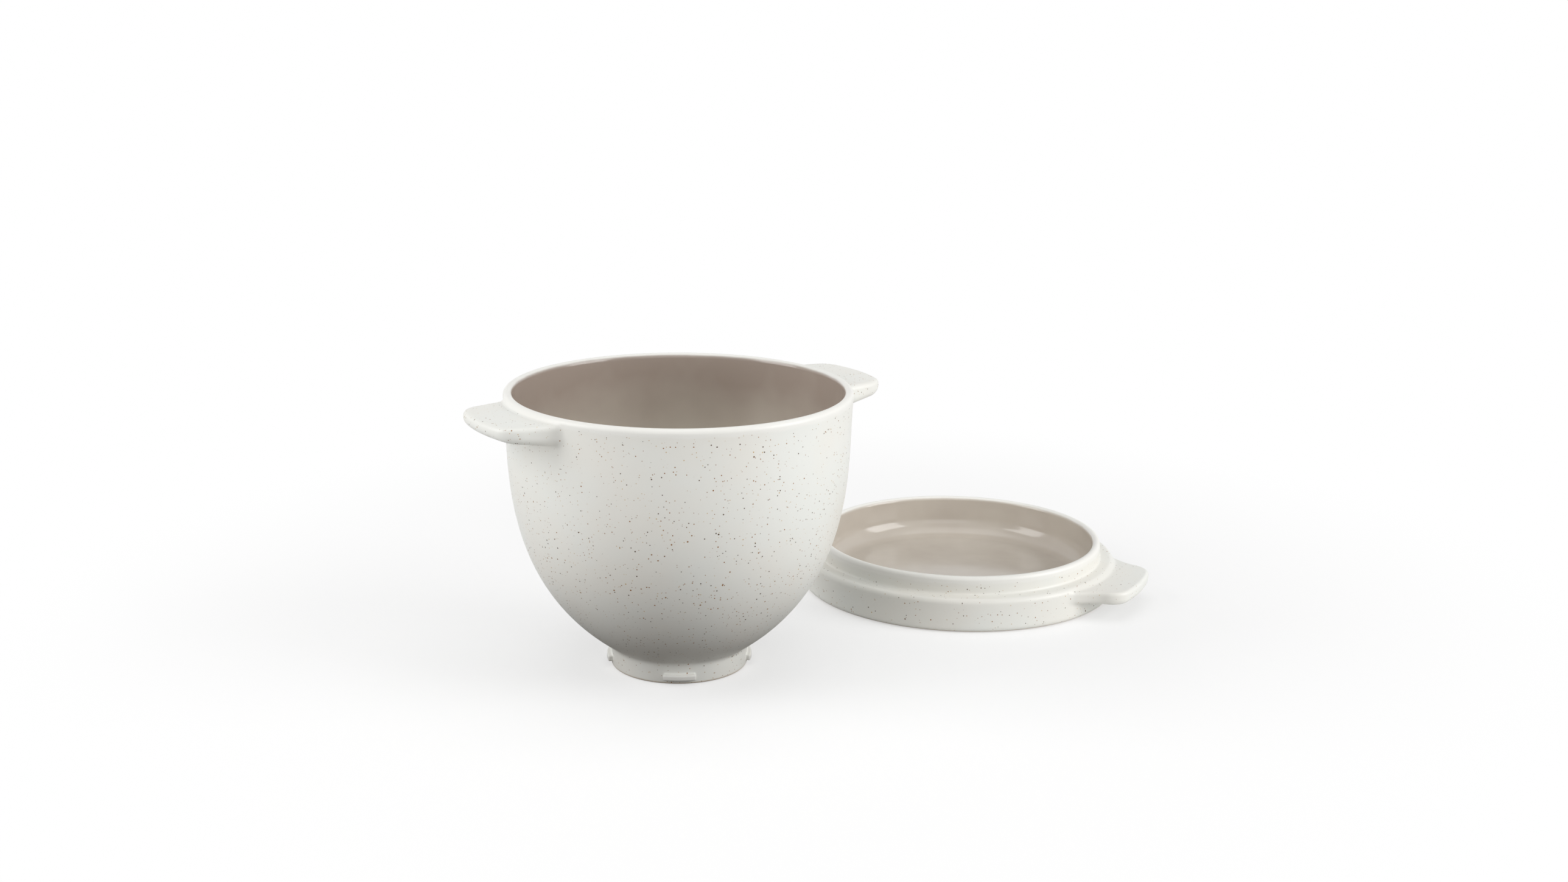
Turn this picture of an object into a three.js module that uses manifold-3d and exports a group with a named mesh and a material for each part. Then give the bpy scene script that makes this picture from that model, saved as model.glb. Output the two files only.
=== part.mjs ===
// Stoneware bread bowl with its baking lid, in millimetres, +Z up.
// The bowl stands on its foot and the lid lies beside it, turned over, with its tray facing up.
// Each of the two is one fired piece: handles, foot and lugs belong to the same clay body.
import * as THREE from "three";
import { mergeVertices } from "three/addons/utils/BufferGeometryUtils.js";
import Module from "manifold-3d";

const wasm = await Module();
wasm.setup();

// Bowl body
const rimRadius = 115;
const bowlHeight = 190;
const bowlWall = 6;
const bellySwell = 8; // the belly curve's lower handle lies this far outside the rim
const bellyLift = 50.5; // and this far above the crease over the foot
const shoulderDraw = 4; // the curve's upper handle lies this far inside the rim
const shoulderDrop = 38; // and this far below it
const basinFloor = 12; // height of the inside floor over the table
const basinFlat = 20; // radius of the flat middle of that floor

// Bowl foot with the lugs that twist into a round clamping plate
const footRadius = 46;
const footHeight = 14.2;
const creaseRun = 2.5; // length of the hollow curve between foot and belly, each way
const creaseSlope = 34; // degrees, rise of the belly where it leaves the foot
const footRingWidth = 8;
const footRecess = 5;
const footEdge = 1.2;
const lugCount = 4;
const lugReach = 3;
const lugSpan = 26; // degrees
const lugLow = 3;
const lugHeight = 4;
const lugEdge = 0.8;

// Bowl handles: two slabs just under the rim
const handleReach = 30.7; // out from the rim
const handleRootWidth = 80;
const handleTipWidth = 67;
const handleTipArc = 98; // plan radius of the outer edge
const handleCorner = 8.5; // plan radius at the outer corners
const handleDrop = 4; // rim top to handle top
const handleRootThick = 13.3;
const handleTipThick = 8.8;
const handleUnderEdge = 5.2; // rounding along the lower rim of a slab
const handleFlare = 8; // plan radius of the hollow flare at the root
const bowlHandleBearing = 29.9; // degrees from +X

// Lid, as it lies
const lidRadius = 118;
const ledgeHeight = 25;
const lidEdge = 4; // rounding of the lower outer edge
const ledgeShoulder = 4; // rounding where the outer wall turns into the ledge
const registerClearance = 1.7; // between the register ring and the mouth of the bowl
const registerHeight = 13; // above the ledge
const registerWall = 6;
const registerFillet = 1.5;
const trayFloor = 8;
const trayCorner = 14;
const lidRecess = 1.5; // hollow under the lid, inside its standing ring
const lidRingWidth = 14;
const lidHandleReach = 27;
const lidHandleRootWidth = 83;
const lidHandleTipWidth = 71;
const lidHandleTipArc = 150;
const lidHandleCorner = 10;
const lidHandleTop = 22;
const lidHandleThick = 9.6;
const lidHandleUnderEdge = 4.4;
const lidHandleFlare = 19;
const lidHandleBearing = -29; // degrees from +X

// Shared by all four handles
const handleEdge = 3.2; // rounding along the upper rim of a slab
const handleFillet = 3; // hollow fillet between a slab's faces and the wall
const filletBite = 0.4; // the fillets end this far under the wall
const flareBite = 3; // and the flares this far
const rootSink = 3; // how far a slab runs into the wall that carries it

// Place of the lid beside the bowl
const lidGap = 6; // clear of the nearer bowl handle
const lidBearing = 38; // degrees from +X

// Fineness of the facets
const turnSteps = 64;
const bellySteps = 12;
const bendSteps = 3;
const edgeSteps = 1;
const cornerSteps = 3;
const slabSteps = 8;
const rootSteps = 4;
const tipSteps = 5;

const glaze = () =>
  new THREE.MeshStandardMaterial({ color: 0xe6e3dc, roughness: 0.45, metalness: 0 });

const radians = THREE.MathUtils.degToRad;

// A point of a turned section.
const at = (radius, height) => new THREE.Vector2(radius, height);

// A closed geometry as a solid that can be joined or cut.
function solid(geometry) {
  const bare = geometry.clone();
  bare.deleteAttribute("normal");
  bare.deleteAttribute("uv");
  const merged = mergeVertices(bare, 1e-3);
  return new wasm.Manifold(
    new wasm.Mesh({
      numProp: 3,
      vertProperties: merged.attributes.position.array,
      triVerts: new Uint32Array(merged.index.array),
    }),
  );
}

// The solid's faces as a geometry again.
function geometryOf(made) {
  const mesh = made.getMesh();
  const geometry = new THREE.BufferGeometry();
  geometry.setAttribute("position", new THREE.BufferAttribute(mesh.vertProperties, 3));
  geometry.setIndex(new THREE.BufferAttribute(mesh.triVerts, 1));
  geometry.computeVertexNormals();
  return geometry;
}

// A section drawn as radius and height, turned about the +Z axis.
function turned(points) {
  return new THREE.LatheGeometry(points, turnSteps).rotateX(Math.PI / 2);
}

// Points of a round bend from one angle to another, in degrees.
function bend(centre, radius, from, to, steps = bendSteps) {
  const points = [];
  for (let i = 0; i <= steps; i++) {
    const angle = radians(from + ((to - from) * i) / steps);
    points.push(
      new THREE.Vector2(centre.x + radius * Math.cos(angle), centre.y + radius * Math.sin(angle)),
    );
  }
  return points;
}

// Outer line of the bowl from the crease over the foot up to the rim.
function bellyCurve() {
  const lean = Math.atan2(shoulderDraw, shoulderDrop);
  const rimRound = bowlWall / 2;
  const crest = at(rimRadius - rimRound, bowlHeight - rimRound);
  const top = at(rimRound * Math.cos(lean), -rimRound * Math.sin(lean)).add(crest);
  const rise = radians(creaseSlope);
  const foot = at(
    footRadius + creaseRun * Math.cos(rise),
    footHeight + creaseRun * Math.sin(rise),
  );
  return {
    lean,
    crest,
    curve: new THREE.CubicBezierCurve(
      foot,
      at(rimRadius + bellySwell, foot.y + bellyLift),
      at(top.x - shoulderDraw, top.y - shoulderDrop),
      top,
    ),
  };
}

function bowlBody() {
  const { lean, crest, curve } = bellyCurve();
  const outer = [];
  const inner = [];
  for (let i = 0; i <= bellySteps; i++) {
    const t = i / bellySteps;
    const point = curve.getPoint(t);
    const along = curve.getTangent(t);
    outer.push(point);
    inner.push(new THREE.Vector2(-along.y, along.x).multiplyScalar(bowlWall).add(point));
  }
  const tilt = THREE.MathUtils.radToDeg(lean);
  const rim = bend(crest, bowlWall / 2, -tilt, 180 - tilt, 2 * bendSteps);
  const crease = new THREE.QuadraticBezierCurve(
    at(footRadius, footHeight - creaseRun),
    at(footRadius, footHeight),
    outer[0],
  );
  const start = curve.getTangent(0);
  const low = inner[0];
  const basin = new THREE.QuadraticBezierCurve(
    low,
    at(low.x - ((low.y - basinFloor) * start.x) / start.y, basinFloor),
    at(basinFlat, basinFloor),
  );
  const ringInside = footRadius - footRingWidth;
  return turned([
    at(0, footRecess),
    ...bend(at(ringInside - footEdge, footRecess - footEdge), footEdge, 90, 0, edgeSteps),
    ...bend(at(ringInside + footEdge, footEdge), footEdge, 180, 270, edgeSteps),
    ...bend(at(footRadius - footEdge, footEdge), footEdge, 270, 360, edgeSteps),
    ...crease.getPoints(bendSteps),
    ...outer.slice(1, -1),
    ...rim,
    ...inner.reverse().slice(1),
    ...basin.getPoints(bendSteps).slice(1),
    at(0, basinFloor),
  ]);
}

// A lug is a short round ledge on the foot, with its edges eased.
function footLug(bearing) {
  const half = radians(lugSpan / 2);
  const outside = footRadius + lugReach - lugEdge;
  const inside = footRadius - rootSink;
  const outline = new THREE.Shape();
  outline.absarc(0, 0, outside, -half, half, false);
  outline.absarc(0, 0, inside, half, -half, true);
  const lug = new THREE.ExtrudeGeometry(outline, {
    depth: lugHeight - 2 * lugEdge,
    bevelThickness: lugEdge,
    bevelSize: lugEdge,
    bevelSegments: 2,
    curveSegments: 6,
  });
  return lug.translate(0, 0, lugLow + lugEdge).rotateZ(bearing);
}

// Rounded rectangle across a handle, as sideways and height pairs: along its lower side, then
// back along its upper side, so that the points at equal places of the two lie over each other.
function slabSection(halfWidth, low, high, lowEdge, highEdge) {
  const flats = (edge) => {
    const flat = [];
    for (let i = 1; i < slabSteps; i++) {
      flat.push((halfWidth - edge) * ((2 * i) / slabSteps - 1));
    }
    return flat;
  };
  const corner = (side, height, edge, from) =>
    bend(new THREE.Vector2(side * (halfWidth - edge), height), edge, from, from + 90, cornerSteps);
  return [
    ...corner(-1, low + lowEdge, lowEdge, 180),
    ...flats(lowEdge).map((x) => new THREE.Vector2(x, low)),
    ...corner(1, low + lowEdge, lowEdge, 270),
    ...corner(1, high - highEdge, highEdge, 0),
    ...flats(highEdge).map((x) => new THREE.Vector2(-x, high)),
    ...corner(-1, high - highEdge, highEdge, 90),
  ];
}

// A slab handle lofted outwards from a round wall. It flares and fillets into the wall at its
// root and narrows outwards. Its outer edge is an arc with rounded corners and rims.
function slabHandle({ wallRadius, reach, widths, flare, tipArc, corner, top, thicks, underEdge }) {
  const tip = wallRadius + reach;
  const stations = [wallRadius - rootSink];
  for (let i = 0; i <= rootSteps; i++) {
    const out = (flare - flareBite) * (1 - Math.cos(radians((90 * i) / rootSteps)));
    stations.push(wallRadius + out);
  }
  for (let i = 0; i <= tipSteps; i++) {
    stations.push(tip - corner * (1 - Math.sin(radians((90 * i) / tipSteps))));
  }
  const hollow = (radius, gap) => {
    const near = THREE.MathUtils.clamp(radius - gap, 0, radius);
    return radius - Math.sqrt(radius * radius - near * near);
  };
  const rings = stations.map((station) => {
    const out = Math.max(station - wallRadius, 0);
    const left = tip - station;
    const along = ([root, end]) => THREE.MathUtils.lerp(root, end, out / reach);
    const fillet = hollow(handleFillet, out + filletBite);
    const half = along(widths) / 2 + hollow(flare, out + flareBite) - hollow(corner, left);
    const high = top + fillet - hollow(handleEdge, left);
    const low = top - along(thicks) - fillet + hollow(underEdge, left);
    const fit = Math.min(1, (high - low - 0.2) / (handleEdge + underEdge));
    const arc = along([station, tipArc]);
    return slabSection(half, low, high, fit * underEdge, fit * handleEdge).map(
      ({ x, y }) => new THREE.Vector3(station - arc + Math.sqrt(arc * arc - x * x), x, y),
    );
  });
  return loft(rings);
}

// Skin over rings of equal point count, with a strip from lower to upper side closing each end.
function loft(rings) {
  const count = rings[0].length;
  const positions = rings.flat().flatMap((point) => point.toArray());
  const faces = [];
  for (let r = 0; r + 1 < rings.length; r++) {
    for (let i = 0; i < count; i++) {
      const a = r * count + i;
      const b = r * count + ((i + 1) % count);
      faces.push(a, b, b + count, a, b + count, a + count);
    }
  }
  const last = (rings.length - 1) * count;
  for (let i = 0; i + 1 < count / 2; i++) {
    const over = count - 1 - i;
    faces.push(i, over, i + 1, i + 1, over, over - 1);
    faces.push(last + i, last + i + 1, last + over, last + i + 1, last + over - 1, last + over);
  }
  const geometry = new THREE.BufferGeometry();
  geometry.setAttribute("position", new THREE.Float32BufferAttribute(positions, 3));
  geometry.setIndex(faces);
  return geometry;
}

// The body with a pair of like handles on opposite sides.
function withHandles(body, handle, bearing) {
  return [0, 180].reduce(
    (made, turn) => made.add(solid(handle.clone().rotateZ(radians(bearing + turn)))),
    solid(body),
  );
}

function makeBowl() {
  const handle = slabHandle({
    wallRadius: rimRadius,
    reach: handleReach,
    widths: [handleRootWidth, handleTipWidth],
    flare: handleFlare,
    tipArc: handleTipArc,
    corner: handleCorner,
    top: bowlHeight - handleDrop,
    thicks: [handleRootThick, handleTipThick],
    underEdge: handleUnderEdge,
  });
  let made = withHandles(bowlBody(), handle, bowlHandleBearing);
  for (let i = 0; i < lugCount; i++) {
    made = made.add(solid(footLug((2 * Math.PI * i) / lugCount)));
  }
  const bowl = new THREE.Mesh(geometryOf(made), glaze());
  bowl.name = "bowl";
  return bowl;
}

function lidBody() {
  const register = rimRadius - bowlWall - registerClearance;
  const registerTop = ledgeHeight + registerHeight;
  const round = registerWall / 2;
  const tray = register - registerWall;
  const ringInside = lidRadius - lidEdge - lidRingWidth;
  return turned([
    at(0, lidRecess),
    at(ringInside - 2 * lidRecess, lidRecess),
    at(ringInside, 0),
    ...bend(at(lidRadius - lidEdge, lidEdge), lidEdge, 270, 360),
    ...bend(at(lidRadius - ledgeShoulder, ledgeHeight - ledgeShoulder), ledgeShoulder, 0, 90),
    ...bend(
      at(register + registerFillet, ledgeHeight + registerFillet),
      registerFillet,
      270,
      180,
      edgeSteps,
    ),
    ...bend(at(register - round, registerTop - round), round, 0, 180, 2 * bendSteps),
    ...bend(at(tray - trayCorner, trayFloor + trayCorner), trayCorner, 0, -90),
    at(0, trayFloor),
  ]);
}

function makeLid() {
  const handle = slabHandle({
    wallRadius: lidRadius,
    reach: lidHandleReach,
    widths: [lidHandleRootWidth, lidHandleTipWidth],
    flare: lidHandleFlare,
    tipArc: lidHandleTipArc,
    corner: lidHandleCorner,
    top: lidHandleTop,
    thicks: [lidHandleThick, lidHandleThick],
    underEdge: lidHandleUnderEdge,
  });
  const lid = new THREE.Mesh(geometryOf(withHandles(lidBody(), handle, lidHandleBearing)), glaze());
  lid.name = "baking_lid";
  return lid;
}

const bowl = makeBowl();
const lid = makeLid();
const apart = rimRadius + handleReach + lidGap + lidRadius;
lid.position.set(apart * Math.cos(radians(lidBearing)), apart * Math.sin(radians(lidBearing)), 0);

// The set's own origin is the middle of its footprint on the table.
const pair = new THREE.Group();
pair.add(bowl, lid);
const middle = new THREE.Box3().setFromObject(pair, true).getCenter(new THREE.Vector3());
pair.position.set(-middle.x, -middle.y, 0);

const breadBowlSet = new THREE.Group();
breadBowlSet.add(pair);
export default breadBowlSet;
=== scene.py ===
# Stoneware bread bowl and its baking lid, dressed in a speckled satin glaze.
# Lengths are in millimetres, apart from those of the studio and its softboxes, which are in metres.
import math

import bpy
import numpy as np
from mathutils import Matrix, Vector


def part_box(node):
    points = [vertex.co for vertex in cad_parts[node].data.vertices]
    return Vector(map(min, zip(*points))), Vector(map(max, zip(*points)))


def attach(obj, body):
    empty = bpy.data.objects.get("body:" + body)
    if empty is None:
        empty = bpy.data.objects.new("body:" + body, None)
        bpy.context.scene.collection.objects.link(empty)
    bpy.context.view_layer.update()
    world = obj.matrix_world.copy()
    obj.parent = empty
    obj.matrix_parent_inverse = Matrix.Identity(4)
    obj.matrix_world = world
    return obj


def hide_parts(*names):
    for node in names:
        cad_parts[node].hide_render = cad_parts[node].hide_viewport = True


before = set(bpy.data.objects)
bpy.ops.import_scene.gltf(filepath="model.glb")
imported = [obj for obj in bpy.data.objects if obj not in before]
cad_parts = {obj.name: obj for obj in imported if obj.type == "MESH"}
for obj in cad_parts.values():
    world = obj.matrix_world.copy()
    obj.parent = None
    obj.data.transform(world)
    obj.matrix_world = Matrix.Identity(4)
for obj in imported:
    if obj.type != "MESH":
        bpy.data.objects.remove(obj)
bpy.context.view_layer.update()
mm = 0.001
print("frame loaded:", sorted(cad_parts))


# Lines of a turned section, as rows of radius and height

def arc(centre, radius, start, end, steps=14):
    angles = np.radians(np.linspace(start, end, steps + 1))
    return np.column_stack([centre[0] + radius * np.cos(angles), centre[1] + radius * np.sin(angles)])


def bezier(points, steps):
    points = np.array(points, float)
    t = np.linspace(0, 1, steps + 1)[:, None]
    while len(points) > 1:
        points = [a * (1 - t) + b * t for a, b in zip(points[:-1], points[1:])]
    return points[0]


def leftOf(line, distance):  # the line moved sideways by its own normal
    along = np.gradient(line, axis=0, edge_order=2)
    along /= np.linalg.norm(along, axis=1)[:, None]
    return line + distance * np.column_stack([-along[:, 1], along[:, 0]])


def runLength(line):
    return np.linalg.norm(np.diff(line, axis=0), axis=1).sum()


# Solids as distance fields, below zero inside

def keepBoth(a, b, radius):  # what lies in both, its edge rounded
    over = np.hypot(np.maximum(a + radius, 0), np.maximum(b + radius, 0))
    return np.minimum(np.maximum(a, b), -radius) + over


def join(a, b, radius):  # both together, with a hollow fillet
    over = np.hypot(np.maximum(radius - a, 0), np.maximum(radius - b, 0))
    return np.maximum(np.minimum(a, b), radius) - over


def ease(x, low, high):  # smooth 0 to 1
    t = np.clip((x - low) / (high - low), 0, 1)
    return t * t * (3 - 2 * t)


class TurnedSolid:  # a section turned about Z, its distances kept in a table
    def __init__(self, line, reach, top, step=0.4, margin=6.0):
        self.line = line
        self.step = step
        self.low = -margin
        radii = np.arange(0, reach + margin, step)
        heights = np.arange(-margin, top + margin, step)
        r, z = np.meshgrid(radii, heights, indexing="ij")
        near, _, inside = self.measure(r, z)
        self.table = np.where(inside, -near, near)

    def measure(self, r, z):  # distance, run along the line and whether inside
        best = np.full(r.shape, math.inf)
        run = np.zeros(r.shape)
        inside = np.zeros(r.shape, bool)
        passed = 0.0
        for (r0, z0), (r1, z1) in zip(self.line[:-1], self.line[1:]):
            dr, dz = r1 - r0, z1 - z0
            length = math.hypot(dr, dz)
            if length < 1e-9:
                continue
            t = np.clip(((r - r0) * dr + (z - z0) * dz) / length**2, 0, 1)
            gap = np.hypot(r - r0 - t * dr, z - z0 - t * dz)
            nearer = gap < best
            best = np.where(nearer, gap, best)
            run = np.where(nearer, passed + t * length, run)
            if z0 != z1:
                crossing = (z >= min(z0, z1)) & (z < max(z0, z1))
                inside ^= crossing & (r < r0 + (z - z0) * dr / dz)
            passed += length
        return best, run, inside

    def __call__(self, r, z):  # distance, read between four entries of the table
        a = np.clip(r / self.step, 0, self.table.shape[0] - 1.001)
        b = np.clip((z - self.low) / self.step, 0, self.table.shape[1] - 1.001)
        i, j = a.astype(int), b.astype(int)
        a, b = a - i, b - j
        t = self.table
        front = t[i, j] * (1 - a) + t[i + 1, j] * a
        back = t[i, j + 1] * (1 - a) + t[i + 1, j + 1] * a
        return front * (1 - b) + back * b


handleJoint = {  # the same on the handles of both pieces
    "sink": 3.0,  # how far a handle reaches into its wall
    "flareBite": 3.0,
    "fillet": 2.8,
    "flankTighter": 0.5,  # share by which the fillet is smaller along the flanks
    "flankBlend": 4.0,
    "flankStep": 0.6,  # degrees between the net's turns
    "frontStep": 1.5,
}


def slabPair(x, y, z, handle, wall):  # two like handles on opposite sides of a round wall
    turn = math.radians(handle["bearing"])
    u = np.abs(x * math.cos(turn) + y * math.sin(turn))
    v = np.abs(y * math.cos(turn) - x * math.sin(turn))
    out = np.hypot(x, y) - wall
    narrowing = (handle["rootWidth"] - handle["tipWidth"]) / 2 / handle["reach"]
    side = (v - handle["rootWidth"] / 2 + narrowing * out) / math.hypot(1, narrowing)
    plan = join(side, out + handle["flareBite"], handle["flare"])  # flares where it leaves the wall
    plan = np.maximum(plan, side - handle["flare"])
    plan = np.maximum(plan, -handle["sink"] - out)
    arcMiddle = handle["wallRadius"] + handle["reach"] - handle["tipArc"]
    tip = np.hypot(u - arcMiddle, v) - handle["tipArc"]
    plan = keepBoth(plan, tip, handle["corner"])
    thinner = (handle["rootThick"] - handle["tipThick"]) / handle["reach"]
    under = handle["top"] - handle["rootThick"] + thinner * np.clip(u - handle["wallRadius"], 0, None)
    slab = keepBoth(plan, z - handle["top"], handle["edge"])
    slab = keepBoth(slab, under - z, handle["underEdge"])
    blend = handle["flankBlend"]
    fillet = handle["fillet"] * (1 - handle["flankTighter"] * ease(side, -blend, blend))
    return slab, fillet


# Meshes: a net over the zero of a distance field, on a grid of radii, turns and heights

def spaced(zones):  # places along a line, from a start and (end, step) zones
    places = [zones[0]]
    for end, step in zones[1:]:
        count = max(1, round((end - places[-1]) / step))
        places.extend(np.linspace(places[-1], end, count + 1)[1:])
    return np.array(places)


def turnsAround(plainStep, crowded):  # bearings in degrees, closer together where (from, to, step) says
    bearings = [0.0]
    while bearings[-1] < 360:
        here = bearings[-1]
        step = plainStep
        for start, end, finer in crowded:
            if (here - start) % 360 < (end - start):
                step = min(step, finer)
        bearings.append(here + step)
    return np.array(bearings[:-1]) * 360 / bearings[-1]


def handleTurns(handle):  # (from, to, step) zones about both handles
    start, end = handle["flankFrom"], handle["flankTo"]
    zones = []
    for here in (handle["bearing"], handle["bearing"] + 180):
        zones.append((here - end, here - start, handle["flankStep"]))
        zones.append((here - start, here + start, handle["frontStep"]))
        zones.append((here + start, here + end, handle["flankStep"]))
    return zones


def alongAxis(values, axis):  # a row of values laid along one axis of a block
    shape = [1, 1, 1]
    shape[axis] = -1
    return values.reshape(shape)


def cellPoints(value, nodes):  # the middle of the crossings on the 12 edges of each cell
    cells = tuple(n - 1 for n in value.shape)
    total = np.zeros(cells + (3,))
    hits = np.zeros(cells)
    for axis in range(3):
        start = np.take(value, range(cells[axis]), axis)
        end = np.take(value, range(1, cells[axis] + 1), axis)
        cross = (start < 0) != (end < 0)
        part = np.where(cross, start / np.where(cross, start - end, 1), 0)
        place = alongAxis(nodes[axis][:-1], axis) + part * alongAxis(np.diff(nodes[axis]), axis)
        others = [a for a in range(3) if a != axis]
        for shifts in ((0, 0), (0, 1), (1, 0), (1, 1)):
            pick = [slice(None)] * 3
            for other, shift in zip(others, shifts):
                pick[other] = slice(shift, shift + cells[other])
            hit = cross[tuple(pick)]
            hits += hit
            total[..., axis] += np.where(hit, place[tuple(pick)], 0)
            for other in others:
                level = alongAxis(nodes[other][pick[other]], other)
                total[..., other] += np.where(hit, level, 0)
    used = hits > 0
    index = np.full(cells, -1)
    index[used] = np.arange(used.sum())
    radius, turn, height = (total[used] / hits[used][:, None]).T
    return np.column_stack([radius * np.cos(turn), radius * np.sin(turn), height]), index


def cellFaces(solid, index):  # a face across each edge of the grid that the surface cuts
    cells = index.shape
    index = np.concatenate([index[:, -1:], index], axis=1)  # the cell before the first turn
    faces = []
    for axis in range(3):
        here = [slice(1, -1), slice(0, cells[1]), slice(1, -1)]  # inner nodes, all the way round
        ahead = list(here)
        here[axis] = slice(0, cells[axis])
        ahead[axis] = slice(1, cells[axis] + 1)
        first, second = solid[tuple(here)], solid[tuple(ahead)]
        at = np.argwhere(first != second)
        outward = first[tuple(at.T)]
        origin = np.array([1, 0, 1])
        origin[axis] = 0
        corners = []
        for shiftB, shiftC in ((-1, -1), (0, -1), (0, 0), (-1, 0)):
            cell = at + origin
            cell[:, (axis + 1) % 3] += shiftB
            cell[:, (axis + 2) % 3] += shiftC
            cell[:, 1] += 1  # past the wrapped cell
            corners.append(index[tuple(cell.T)])
        quad = np.column_stack(corners)
        quad[~outward] = quad[~outward, ::-1]
        faces.append(quad)
    return np.concatenate(faces)


def closeAxis(column, heights, rings, count):  # a hub and a fan for each hole on the axis
    hubs = []
    fans = []
    for k in np.nonzero((column[:-1] < 0) != (column[1:] < 0))[0]:
        low, high = column[k], column[k + 1]
        hub = count + len(hubs)
        hubs.append([0, 0, heights[k] + (heights[k + 1] - heights[k]) * low / (low - high)])
        ring = rings[:, k]
        for a, b in zip(ring, np.roll(ring, -1)):
            fans.append((hub, a, b) if low < 0 else (hub, b, a))
    return np.array(hubs).reshape(-1, 3), fans


settling = {
    "rounds": 4,
    "probe": 0.04,  # half the length over which a slope is taken
    "leastSteep": 0.25,  # lower limit for the square of a slope
    "longestMove": 1.5,
}


def settle(field, points):  # moves the net onto the surface
    probe = settling["probe"]
    for _ in range(settling["rounds"]):
        off = field(*points.T)
        slope = np.column_stack([
            field(*(points + probe * d).T) - field(*(points - probe * d).T) for d in np.eye(3)
        ]) / (2 * probe)
        steep = np.maximum((slope**2).sum(1), settling["leastSteep"])
        move = off[:, None] * slope / steep[:, None]
        size = np.linalg.norm(move, axis=1)[:, None]
        points = points - move * np.minimum(1, settling["longestMove"] / np.maximum(size, 1e-9))
    return points


def netOver(field, bearings, radii, heights):
    turn = np.radians(bearings)
    r, t, z = np.meshgrid(radii, turn, heights, indexing="ij")
    value = field(r * np.cos(t), r * np.sin(t), z)
    value[0] = value[0, :1]  # one value on the axis
    value = np.concatenate([value, value[:, :1]], axis=1)  # the first turn again after the last
    turn = np.append(turn, turn[0] + 2 * math.pi)
    points, index = cellPoints(value, [radii, turn, heights])
    quads = cellFaces(value < 0, index)
    hubs, fans = closeAxis(value[0, 0], heights, index[0], len(points))
    return settle(field, np.concatenate([points, hubs])), quads, fans


def makePiece(name, net, axis, marks):
    points, quads, fans = net
    mesh = bpy.data.meshes.new(name)
    placed = (points + np.array([axis[0], axis[1], 0])) * mm
    mesh.vertices.add(len(points))
    mesh.vertices.foreach_set("co", placed.ravel())
    corners = np.concatenate([quads.ravel(), np.array(fans, int).ravel()])
    mesh.loops.add(len(corners))
    mesh.loops.foreach_set("vertex_index", corners)
    starts = np.concatenate([np.arange(len(quads)) * 4, len(quads) * 4 + np.arange(len(fans)) * 3])
    mesh.polygons.add(len(starts))
    mesh.polygons.foreach_set("loop_start", starts)
    mesh.update(calc_edges=True)
    mesh.validate()
    mesh.shade_smooth()
    for label, values in marks.items():
        mesh.attributes.new(label, "FLOAT", "POINT").data.foreach_set("value", values)
    piece = bpy.data.objects.new(name, mesh)
    bpy.context.scene.collection.objects.link(piece)
    print(name, len(points), "points", len(starts), "faces")
    return piece


def axisOf(node):  # a turned piece's axis is the middle of its box
    low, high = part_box(node)
    return [(a + b) / 2 / mm for a, b in zip(low, high)][:2]


# Shading: sockets that can be reckoned with

class Wire:
    def __init__(self, shade, socket):
        self.shade = shade
        self.socket = socket

    def reckon(self, operation, *values):
        node = self.shade.add("ShaderNodeMath", {"operation": operation}, dict(enumerate(values)))
        return node["Value"]

    def __add__(self, other):
        return self.reckon("ADD", self, other)

    def __radd__(self, other):
        return self.reckon("ADD", other, self)

    def __sub__(self, other):
        return self.reckon("SUBTRACT", self, other)

    def __rsub__(self, other):
        return self.reckon("SUBTRACT", other, self)

    def __mul__(self, other):
        return self.reckon("MULTIPLY", self, other)

    def __rmul__(self, other):
        return self.reckon("MULTIPLY", other, self)

    def most(self, other):
        return self.reckon("MAXIMUM", self, other)

    def between(self, least, full):  # least where the wire is 0, full where it is 1
        return least + (full - least) * self

    def rise(self, low, high):  # smooth 0 to 1 between two values
        return self.shade.add(
            "ShaderNodeMapRange",
            {"interpolation_type": "SMOOTHSTEP"},
            {"Value": self, "From Min": low, "From Max": high},
        )["Result"]


class Added:  # a node whose outputs are wires
    def __init__(self, shade, node):
        self.shade = shade
        self.node = node

    def __getitem__(self, name):
        return Wire(self.shade, findSocket(self.node.outputs, name))


def findSocket(sockets, name):
    if isinstance(name, int):
        return sockets[name]
    for socket in sockets:
        if socket.identifier == name:
            return socket
    return sockets[name]


class Shade:
    def __init__(self, owner):
        owner.use_nodes = True
        self.tree = owner.node_tree
        self.tree.nodes.clear()

    def add(self, kind, settings=None, values=None):
        node = self.tree.nodes.new(kind)
        for name, setting in (settings or {}).items():
            setattr(node, name, setting)
        for name, value in (values or {}).items():
            socket = findSocket(node.inputs, name)
            if isinstance(value, Wire):
                self.tree.links.new(value.socket, socket)
            else:
                socket.default_value = value
        return Added(self, node)

    def tint(self, factor, first, second):  # first colour to second
        return self.add(
            "ShaderNodeMix",
            {"data_type": "RGBA"},
            {"Factor_Float": factor, "A_Color": first, "B_Color": second},
        )["Result_Color"]

    def cloud(self, where, size, detail=2.0, rough=0.5):  # soft noise from 0 to 1
        return self.add(
            "ShaderNodeTexNoise",
            {},
            {"Vector": where, "Scale": 1 / (size * mm), "Detail": detail, "Roughness": rough},
        )["Fac"]

    def sway(self, where, size, detail=2.0):  # soft noise about 0
        return self.cloud(where, size, detail) - 0.5

    def mark(self, label):
        return self.add("ShaderNodeAttribute", {"attribute_name": label})["Fac"]


def colour(red, green, blue):  # from the 0 to 255 of a picture
    def linear(c):
        c /= 255
        return c / 12.92 if c <= 0.04045 else ((c + 0.055) / 1.055) ** 2.4

    return (linear(red), linear(green), linear(blue), 1.0)


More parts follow.
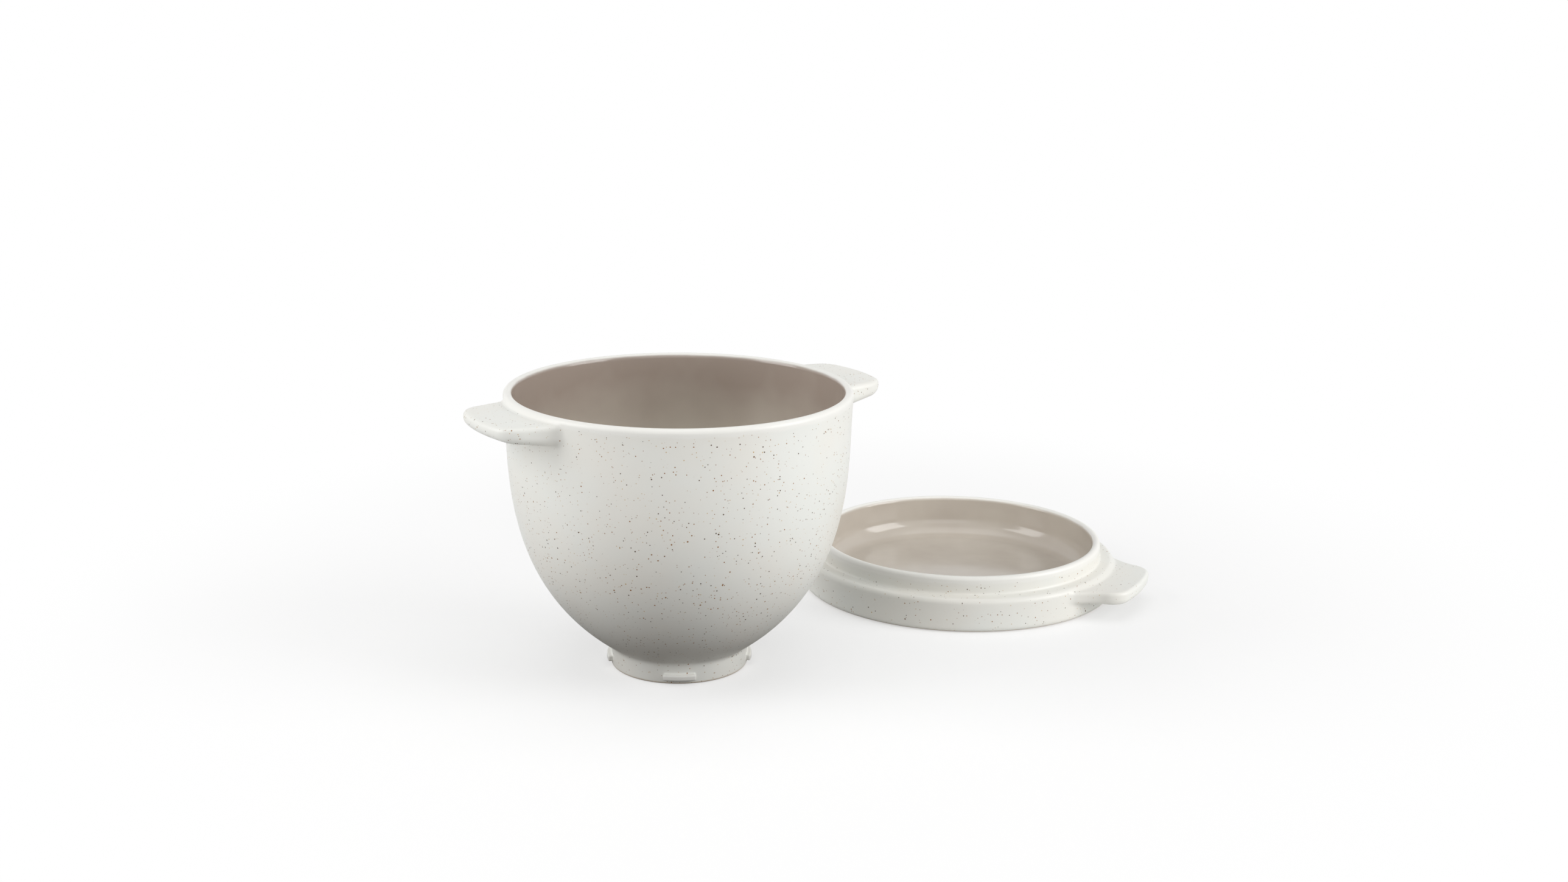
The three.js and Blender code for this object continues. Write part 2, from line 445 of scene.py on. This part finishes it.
glaze = {
    "outside": colour(231, 232, 227),
    "outsideWarm": colour(232, 230, 223),
    "driftSize": 60.0,  # patches of the warmer white
    "driftSpan": (0.3, 0.7),
    "rim": colour(237, 236, 231),
    "rimShare": 0.8,
    "plainBand": 7.0,  # outside the rim without specks
    "bandBlur": 1.0,
    "bandWobble": 3.0,
    "wobbleSize": 16.0,
    "speckDark": colour(78, 54, 24),
    "speckRust": colour(143, 94, 31),
    "speckFaint": colour(186, 150, 70),
    "speckCell": 3.6,  # mean spacing of the big specks
    "speckSize": 0.53,  # their largest radius, before clumps change it
    "speckStrength": (0.94, 1.0),
    "rustSpan": (0.45, 0.6),  # which of them are rust and not dark
    "fleckCell": 2.8,
    "fleckSize": 0.42,
    "fleckStrength": (0.5, 0.9),
    "faintSpan": (0.4, 0.5),  # which of the small ones are rust and not faint
    "smallest": 0.7,  # share of the largest radius
    "speckBlur": 0.02,  # share of a cell
    "clumpSize": 22.0,  # patches of larger and of smaller specks
    "clumpSpan": (0.25, 0.7),
    "clumpGrowth": (0.62, 1.12),
    # the lining's two tones paint light and shade: darker near the rim as painted shade, paler deep in
    # the basin as painted light
    "inside": colour(161, 148, 138),
    "insideDeep": colour(217, 211, 199),
    "liningSpan": (1.6, 4.0),  # run past the crest of the rim over which the lining takes over
    "liningWobble": 0.8,
    "paleSpan": (12.0, 85.0),  # run down from the rim over which the painted shade near the bowl's rim gives way to the painted light deeper in its basin
    "trayPale": 0.55,  # share of the pale tone in the lid's tray
    "poolSize": 35.0,
    "poolShare": 0.4,
    "clay": colour(216, 198, 172),
    "clayDark": colour(190, 168, 140),
    "claySpan": (0.5, 1.3),  # height over which glaze takes over from the bare standing ring
    "grainSize": 1.1,
    "grainSpan": (0.3, 0.75),
    "outsideRough": 0.4,
    "insideRough": 0.14,
    "clayRough": 0.85,
    "satinSize": 14.0,
    "satinSpread": 0.12,
    "rippleSize": 7.0,
    "rippleHeight": 0.25,  # this and the heights below are shares of the bump's depth
    "pinSize": 0.6,
    "pinHeight": 0.012,
    "speckDip": 0.02,
    "grainHeight": 0.25,
    "bumpDepth": 0.4,
    "bumpStrength": 0.35,
    "refraction": 1.5,
}


def specks(shade, where, cell, size, clumps):  # round inclusions cut by the surface
    spots = shade.add(
        "ShaderNodeTexVoronoi",
        {"voronoi_dimensions": "3D", "feature": "F1"},
        {"Vector": where, "Scale": 1 / (cell * mm), "Randomness": 1.0},
    )
    parts = shade.add("ShaderNodeSeparateColor", {}, {"Color": spots["Color"]})
    radius = parts["Red"].between(glaze["smallest"], 1.0) * clumps * (size / cell)
    gap = spots["Distance"] - radius
    return 1 - gap.rise(-glaze["speckBlur"], glaze["speckBlur"]), parts


def outerCoat(shade, where, speckled, spread):  # white with specks, and plain along the rim
    drift = shade.cloud(where, glaze["driftSize"], detail=3.0).rise(*glaze["driftSpan"])
    coat = shade.tint(drift, glaze["outside"], glaze["outsideWarm"])
    coat = shade.tint((1 - speckled) * glaze["rimShare"], coat, glaze["rim"])
    patches = shade.cloud(where, glaze["clumpSize"]).rise(*glaze["clumpSpan"])
    clumps = patches.between(*glaze["clumpGrowth"])
    big, lot = specks(shade, where, glaze["speckCell"] * spread, glaze["speckSize"], clumps)
    small, many = specks(shade, where, glaze["fleckCell"] * spread, glaze["fleckSize"], clumps)
    dark = shade.tint(lot["Green"].rise(*glaze["rustSpan"]), glaze["speckDark"], glaze["speckRust"])
    pale = shade.tint(many["Green"].rise(*glaze["faintSpan"]), glaze["speckFaint"], glaze["speckRust"])
    small = small * speckled
    big = big * speckled
    coat = shade.tint(small * many["Blue"].between(*glaze["fleckStrength"]), coat, pale)
    coat = shade.tint(big * lot["Blue"].between(*glaze["speckStrength"]), coat, dark)
    return coat, big


def speckledGlaze(name, spread):  # spread: how much further apart the specks lie than on the bowl
    material = bpy.data.materials.new(name)
    shade = Shade(material)
    where = shade.add("ShaderNodeTexCoord")["Object"]
    run = shade.mark("rimRun")
    bare = shade.mark("bareClay")
    wobble = shade.sway(where, glaze["wobbleSize"])
    inside = (run + wobble * glaze["liningWobble"]).rise(*glaze["liningSpan"])
    band, blur = -glaze["plainBand"], glaze["bandBlur"]
    speckled = 1 - (run + wobble * glaze["bandWobble"]).rise(band - blur, band + blur)

    coat, dips = outerCoat(shade, where, speckled, spread)
    # on the bowl the lining goes from painted shade near the rim to painted light deeper down, with soft
    # random pools
    depth = shade.mark("liningLitShare") + shade.sway(where, glaze["poolSize"]) * glaze["poolShare"]
    lining = shade.tint(depth, glaze["inside"], glaze["insideDeep"])
    grain = shade.cloud(where, glaze["grainSize"], detail=4.0, rough=0.7)
    clay = shade.tint(grain.rise(*glaze["grainSpan"]), glaze["clay"], glaze["clayDark"])
    body = shade.tint(inside, coat, lining)
    body = shade.tint(bare, body, clay)

    satin = shade.sway(where, glaze["satinSize"], detail=3.0) * glaze["satinSpread"]
    rough = glaze["outsideRough"] + satin + inside * (glaze["insideRough"] - glaze["outsideRough"])
    rough = rough + bare * (glaze["clayRough"] - rough)

    ripple = shade.cloud(where, glaze["rippleSize"]) * glaze["rippleHeight"]
    pins = shade.cloud(where, glaze["pinSize"]) * glaze["pinHeight"] * (1 - inside)
    height = ripple + pins - dips * glaze["speckDip"] + bare * grain * glaze["grainHeight"]
    bump = shade.add(
        "ShaderNodeBump",
        {},
        {"Strength": glaze["bumpStrength"], "Distance": glaze["bumpDepth"] * mm, "Height": height},
    )
    skin = shade.add(
        "ShaderNodeBsdfPrincipled",
        {},
        {"Base Color": body, "Roughness": rough, "Normal": bump["Normal"], "IOR": glaze["refraction"]},
    )
    shade.add("ShaderNodeOutputMaterial", {}, {"Surface": skin["BSDF"]})
    return material


# The bowl

bowl = {
    "rimRadius": 115.0,
    "height": 190.0,
    "wall": 6.0,
    "bellySwell": 8.0,
    "bellyLift": 50.5,
    "shoulderDraw": 4.0,
    "shoulderDrop": 38.0,
    "basinFloor": 12.0,
    "basinFlat": 20.0,
    "footRadius": 46.0,
    "footHeight": 14.2,
    "creaseRun": 2.5,
    "creaseSlope": 34.0,  # degrees
    "footRingWidth": 8.0,
    "footRecess": 5.0,
    "footEdge": 1.2,
    "lugCount": 4,
    "lugReach": 3.0,
    "lugSink": 3.0,
    "lugSpan": 26.0,  # degrees
    "lugLow": 3.0,
    "lugHeight": 4.0,
    "lugEdge": 0.8,
    "lugFillet": 0.4,
    "speckSpread": 1.0,
    "speckledRun": -15.0,  # run given to the handles, well under the plain band
    "plainRun": -3.0,  # run given to the lugs, inside the plain band
    "onHandle": 0.5,  # nearer than this to a handle counts as on it
    "onLug": 0.3,
    "netRadii": [0, (34, 3.0), (52, 0.7), (102, 2.4), (119, 1.0), (150, 1.35)],  # start, (end, step)
    "netHeights": [-1.5, (18, 0.7), (166, 3.2), (192.4, 0.9)],
    "turnStep": 2.2,  # degrees between the net's turns
    "lugEndTurn": 2.5,  # degrees of closer turns before and after a lug's end
    "lugEndStep": 0.7,
}

bowlHandle = {
    **handleJoint,
    "bearing": 29.9,
    "wallRadius": bowl["rimRadius"],
    "reach": 30.7,
    "rootWidth": 80.0,
    "tipWidth": 67.0,
    "tipArc": 98.0,
    "corner": 8.5,
    "top": bowl["height"] - 4.0,
    "rootThick": 13.3,
    "tipThick": 8.8,
    "edge": 3.2,
    "underEdge": 5.2,
    "flare": 8.0,
    "flankFrom": 12.0,  # degrees from the middle of the handle
    "flankTo": 27.0,
}


def bowlSection():
    half = bowl["wall"] / 2
    lean = math.atan2(bowl["shoulderDraw"], bowl["shoulderDrop"])
    crest = np.array([bowl["rimRadius"] - half, bowl["height"] - half])
    top = crest + half * np.array([math.cos(lean), -math.sin(lean)])
    rise = math.radians(bowl["creaseSlope"])
    foot = np.array([bowl["footRadius"], bowl["footHeight"]])
    heel = foot + bowl["creaseRun"] * np.array([math.cos(rise), math.sin(rise)])
    swell = [bowl["rimRadius"] + bowl["bellySwell"], heel[1] + bowl["bellyLift"]]
    belly = bezier([heel, swell, top - [bowl["shoulderDraw"], bowl["shoulderDrop"]], top], 120)
    lining = leftOf(belly, bowl["wall"])[::-1]
    crease = bezier([foot - [0, bowl["creaseRun"]], foot, heel], 10)
    slope = (belly[1] - belly[0])[0] / (belly[1] - belly[0])[1]
    low = lining[-1]
    floor = bowl["basinFloor"]
    basin = bezier([low, [low[0] - (low[1] - floor) * slope, floor], [bowl["basinFlat"], floor]], 30)
    edge = bowl["footEdge"]
    inner = bowl["footRadius"] - bowl["footRingWidth"]
    tilt = math.degrees(lean)
    outside = [
        [[0, bowl["footRecess"]]],
        arc([inner - edge, bowl["footRecess"] - edge], edge, 90, 0, 6),
        arc([inner + edge, edge], edge, 180, 270, 6),
        arc([bowl["footRadius"] - edge, edge], edge, 270, 360, 6),
        crease,
        belly[1:-1],
        arc(crest, half, -tilt, 90, 16),
    ]
    inside = [
        arc(crest, half, 90, 180 - tilt, 16)[1:],
        lining[1:],
        basin[1:],
        [[0, floor]],
    ]
    return np.concatenate(outside), np.concatenate(inside), belly


def bowlLugs(x, y, z):
    pitch = 2 * math.pi / bowl["lugCount"]
    bearing = (np.arctan2(y, x) + pitch / 2) % pitch - pitch / 2
    radius = np.hypot(x, y)
    outer = radius - bowl["footRadius"] - bowl["lugReach"]
    ends = (np.abs(bearing) - math.radians(bowl["lugSpan"] / 2)) * radius
    middle = bowl["lugLow"] + bowl["lugHeight"] / 2
    slab = np.abs(z - middle) - bowl["lugHeight"] / 2
    plan = keepBoth(outer, ends, bowl["lugEdge"])
    plan = np.maximum(plan, bowl["footRadius"] - bowl["lugSink"] - radius)
    return keepBoth(plan, slab, bowl["lugEdge"])


def lugTurns():  # (from, to, step) zones about the ends of the lugs
    zones = []
    for lug in range(bowl["lugCount"]):
        for end in (-1, 1):
            at = lug * 360 / bowl["lugCount"] + end * bowl["lugSpan"] / 2
            zones.append((at - bowl["lugEndTurn"], at + bowl["lugEndTurn"], bowl["lugEndStep"]))
    return zones


def buildBowl():
    outside, inside, belly = bowlSection()
    reach = bowlHandle["wallRadius"] + bowlHandle["reach"]
    body = TurnedSolid(np.concatenate([outside, inside]), reach, bowl["height"])

    def handles(x, y, z):
        wall = np.interp(z, belly[:, 1], belly[:, 0])
        return slabPair(x, y, z, bowlHandle, wall)

    def field(x, y, z):
        slab, fillet = handles(x, y, z)
        turned = body(np.hypot(x, y), z)
        return join(join(turned, slab, fillet), bowlLugs(x, y, z), bowl["lugFillet"])

    bearings = turnsAround(bowl["turnStep"], handleTurns(bowlHandle) + lugTurns())
    net = netOver(field, bearings, spaced(bowl["netRadii"]), spaced(bowl["netHeights"]))
    x, y, z = net[0].T
    run = body.measure(np.hypot(x, y), z)[1] - runLength(outside)
    onHandle = handles(x, y, z)[0] < bowl["onHandle"]
    run = np.where(onHandle, np.minimum(run, bowl["speckledRun"]), run)
    run = np.where(bowlLugs(x, y, z) < bowl["onLug"], bowl["plainRun"], run)
    marks = {
        "rimRun": run,
        "bareClay": 1 - ease(z, *glaze["claySpan"]),
        # painted shade near the rim, giving way to painted light deeper in the basin
        "liningLitShare": ease(run, *glaze["paleSpan"]),
    }
    return makePiece("glazed_bowl", net, axisOf("bowl"), marks)


# The lid, lying turned over with its tray up

lid = {
    "radius": 118.0,
    "ledgeHeight": 25.0,
    "edge": 4.0,
    "shoulder": 4.0,
    "registerRadius": 107.3,
    "registerHeight": 13.0,
    "registerWall": 6.0,
    "registerFillet": 1.5,
    "trayFloor": 8.0,
    "trayCorner": 14.0,
    "recess": 1.5,
    "ringWidth": 14.0,
    "speckSpread": 1.25,
    "netRadii": [0, (84, 3.0), (120, 0.8), (149, 1.2)],  # start, (end, step)
    "netHeights": [-1.5, (40.5, 0.8)],
    "turnStep": 2.0,  # degrees between the net's turns
}

lidHandle = {
    **handleJoint,
    "bearing": -29.0,
    "wallRadius": lid["radius"],
    "reach": 27.0,
    "rootWidth": 83.0,
    "tipWidth": 71.0,
    "tipArc": 150.0,
    "corner": 10.0,
    "top": 22.0,
    "rootThick": 9.6,
    "tipThick": 9.6,
    "edge": 2.6,
    "underEdge": 4.0,
    "flare": 19.0,
    "flankFrom": 11.0,  # degrees from the middle of the handle
    "flankTo": 30.0,
}


def lidSection():
    register = lid["registerRadius"]
    ledge = lid["ledgeHeight"]
    top = ledge + lid["registerHeight"]
    half = lid["registerWall"] / 2
    tray = register - lid["registerWall"]
    edge = lid["edge"]
    shoulder = lid["shoulder"]
    recess = lid["recess"]
    ring = lid["radius"] - edge - lid["ringWidth"]
    fillet = lid["registerFillet"]
    corner = lid["trayCorner"]
    outside = [
        [[0, recess], [ring - 2 * recess, recess], [ring, 0]],
        arc([lid["radius"] - edge, edge], edge, 270, 360),
        arc([lid["radius"] - shoulder, ledge - shoulder], shoulder, 0, 90),
        arc([register + fillet, ledge + fillet], fillet, 270, 180, 8),
        arc([register - half, top - half], half, 0, 90, 16),
    ]
    inside = [
        arc([register - half, top - half], half, 90, 180, 16)[1:],
        arc([tray - corner, lid["trayFloor"] + corner], corner, 0, -90, 24),
        [[0, lid["trayFloor"]]],
    ]
    return np.concatenate(outside), np.concatenate(inside)


def buildLid():
    outside, inside = lidSection()
    reach = lidHandle["wallRadius"] + lidHandle["reach"]
    top = lid["ledgeHeight"] + lid["registerHeight"]
    body = TurnedSolid(np.concatenate([outside, inside]), reach, top)

    def field(x, y, z):
        slab, fillet = slabPair(x, y, z, lidHandle, lid["radius"])
        return join(body(np.hypot(x, y), z), slab, fillet)

    bearings = turnsAround(lid["turnStep"], handleTurns(lidHandle))
    net = netOver(field, bearings, spaced(lid["netRadii"]), spaced(lid["netHeights"]))
    x, y, z = net[0].T
    marks = {
        "rimRun": body.measure(np.hypot(x, y), z)[1] - runLength(outside),
        "bareClay": 1 - ease(z, *glaze["claySpan"]),
        "liningLitShare": np.full(len(z), glaze["trayPale"]),
    }
    return makePiece("glazed_lid", net, axisOf("baking_lid"), marks)


bowlPiece = buildBowl()
bowlPiece.data.materials.append(speckledGlaze("bowl_glaze", bowl["speckSpread"]))
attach(bowlPiece, "bowl")
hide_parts("bowl")
print("bowl done")

lidPiece = buildLid()
lidPiece.data.materials.append(speckledGlaze("lid_glaze", lid["speckSpread"]))
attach(lidPiece, "lid")
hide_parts("baking_lid")
print("lid done")


# Floor, light and camera

studio = {
    "floorSize": 12.0,
    "floorDrop": 0.0002,  # just clear of the standing faces
    "floorColour": colour(253, 253, 253),
    "floorBounce": colour(226, 226, 226),  # what the floor gives back to the pieces
    "cardColour": colour(100, 94, 89),  # a darker card under the bowl gives its belly form
    "cardShift": (-0.01, -0.09),  # from the bowl's axis, away from the lid
    "cardFrom": 0.11,  # from its middle to where the card starts to fade out
    "cardTo": 0.24,
    "floorGlow": 0.48,  # share of plain white in what the camera sees of it
    "fadeFrom": 0.24,  # from the floor's middle to where it starts to turn all white
    "fadeTo": 0.62,
    "ambient": 0.35,
    "white": (1, 1, 1, 1),
}


def paperFloor():  # the camera sees paper that fades to white, and the pieces see the card on it
    material = bpy.data.materials.new("paper_floor")
    shade = Shade(material)
    where = shade.add("ShaderNodeTexCoord")["Object"]
    far = shade.add("ShaderNodeVectorMath", {"operation": "LENGTH"}, {0: where})["Value"]
    camera = shade.add("ShaderNodeLightPath")["Is Camera Ray"]
    middle = [a * mm + shift for a, shift in zip(axisOf("bowl"), studio["cardShift"])]
    ends = {0: where, 1: (*middle, 0)}
    off = shade.add("ShaderNodeVectorMath", {"operation": "DISTANCE"}, ends)["Value"]
    card = shade.add("ShaderNodeBsdfDiffuse", {}, {"Color": studio["cardColour"]})
    pale = shade.add("ShaderNodeBsdfDiffuse", {}, {"Color": studio["floorBounce"]})
    past = off.rise(studio["cardFrom"], studio["cardTo"])
    bounce = shade.add("ShaderNodeMixShader", {}, {0: past, 1: card["BSDF"], 2: pale["BSDF"]})
    paper = shade.add("ShaderNodeBsdfDiffuse", {}, {"Color": studio["floorColour"]})
    white = shade.add("ShaderNodeEmission", {}, {"Color": studio["white"], "Strength": 1.0})
    fade = far.rise(studio["fadeFrom"], studio["fadeTo"]).between(studio["floorGlow"], 1)
    shown = shade.add("ShaderNodeMixShader", {}, {0: fade, 1: paper["BSDF"], 2: white["Emission"]})
    both = shade.add("ShaderNodeMixShader", {}, {0: camera, 1: bounce["Shader"], 2: shown["Shader"]})
    shade.add("ShaderNodeOutputMaterial", {}, {"Surface": both["Shader"]})
    return material


def buildFloor():
    half = studio["floorSize"] / 2
    corners = [(-half, -half, 0), (half, -half, 0), (half, half, 0), (-half, half, 0)]
    mesh = bpy.data.meshes.new("floor")
    mesh.from_pydata(corners, [], [(0, 1, 2, 3)])
    mesh.materials.append(paperFloor())
    floor = bpy.data.objects.new("floor", mesh)
    floor.location.z = -studio["floorDrop"]
    bpy.context.scene.collection.objects.link(floor)


def buildWorld():  # white to the camera and in reflections, dimmer as light
    world = bpy.data.worlds.new("studio")
    bpy.context.scene.world = world
    shade = Shade(world)
    path = shade.add("ShaderNodeLightPath")
    seen = path["Is Camera Ray"].most(path["Is Glossy Ray"]).most(path["Is Transmission Ray"])
    dim = shade.add("ShaderNodeBackground", {}, {"Color": studio["white"], "Strength": studio["ambient"]})
    white = shade.add("ShaderNodeBackground", {}, {"Color": studio["white"], "Strength": 1.0})
    both = shade.add("ShaderNodeMixShader", {}, {0: seen, 1: dim["Background"], 2: white["Background"]})
    shade.add("ShaderNodeOutputWorld", {}, {"Surface": both["Shader"]})


softboxes = {  # place, aim, width, height, watts
    "left": ((-2.2, -0.5, 1.1), (-0.1, -0.05, 0.1), 1.4, 1.8, 31.0),
    "right": ((2.3, -0.9, 1.0), (0.0, 0.0, 0.08), 1.5, 1.8, 42.5),
    "top": ((0.0, -0.1, 2.4), (0.0, 0.0, 0.0), 2.2, 1.8, 12.0),
    "front": ((0.3, -2.6, 1.2), (0.0, 0.0, 0.08), 2.0, 1.4, 7.5),
}


def buildLights():
    for name, (place, aim, width, height, watts) in softboxes.items():
        lamp = bpy.data.lights.new(name, "AREA")
        lamp.shape = "RECTANGLE"
        lamp.size = width
        lamp.size_y = height
        lamp.energy = watts
        holder = bpy.data.objects.new(name, lamp)
        holder.location = place
        holder.rotation_euler = (Vector(aim) - Vector(place)).to_track_quat("-Z", "Y").to_euler()
        bpy.context.scene.collection.objects.link(holder)


view = {
    "fromBowl": (0.0, -1269.2, 478.65),  # from the bowl's axis on the floor
    "yaw": 3.134,  # degrees to the right
    "pitch": 14.346,  # degrees down
    "roll": 0.701,  # degrees, the camera's right side up
    "focal": 3246.4,  # in pixels of the whole picture
    "pictureWidth": 2576,
    "sensorWidth": 36.0,
}


def buildCamera():
    yaw, pitch, roll = (math.radians(view[k]) for k in ("yaw", "pitch", "roll"))
    ahead = Vector((math.sin(yaw) * math.cos(pitch), math.cos(yaw) * math.cos(pitch), -math.sin(pitch)))
    right = Vector((math.cos(yaw), -math.sin(yaw), 0))
    up = right.cross(ahead)
    across = math.cos(roll) * right + math.sin(roll) * up
    upright = -math.sin(roll) * right + math.cos(roll) * up
    lens = bpy.data.cameras.new("camera")
    lens.sensor_fit = "HORIZONTAL"
    lens.sensor_width = view["sensorWidth"]
    lens.lens = view["sensorWidth"] * view["focal"] / view["pictureWidth"]
    camera = bpy.data.objects.new("camera", lens)
    turn = Matrix((across, upright, -ahead)).transposed().to_4x4()
    place = Vector((*axisOf("bowl"), 0)) + Vector(view["fromBowl"])
    camera.matrix_world = Matrix.Translation(place * mm) @ turn
    bpy.context.scene.collection.objects.link(camera)
    bpy.context.scene.camera = camera


buildFloor()
buildWorld()
buildLights()
buildCamera()
bpy.context.scene.view_settings.view_transform = "Standard"
print("studio done")

bpy.context.view_layer.update()
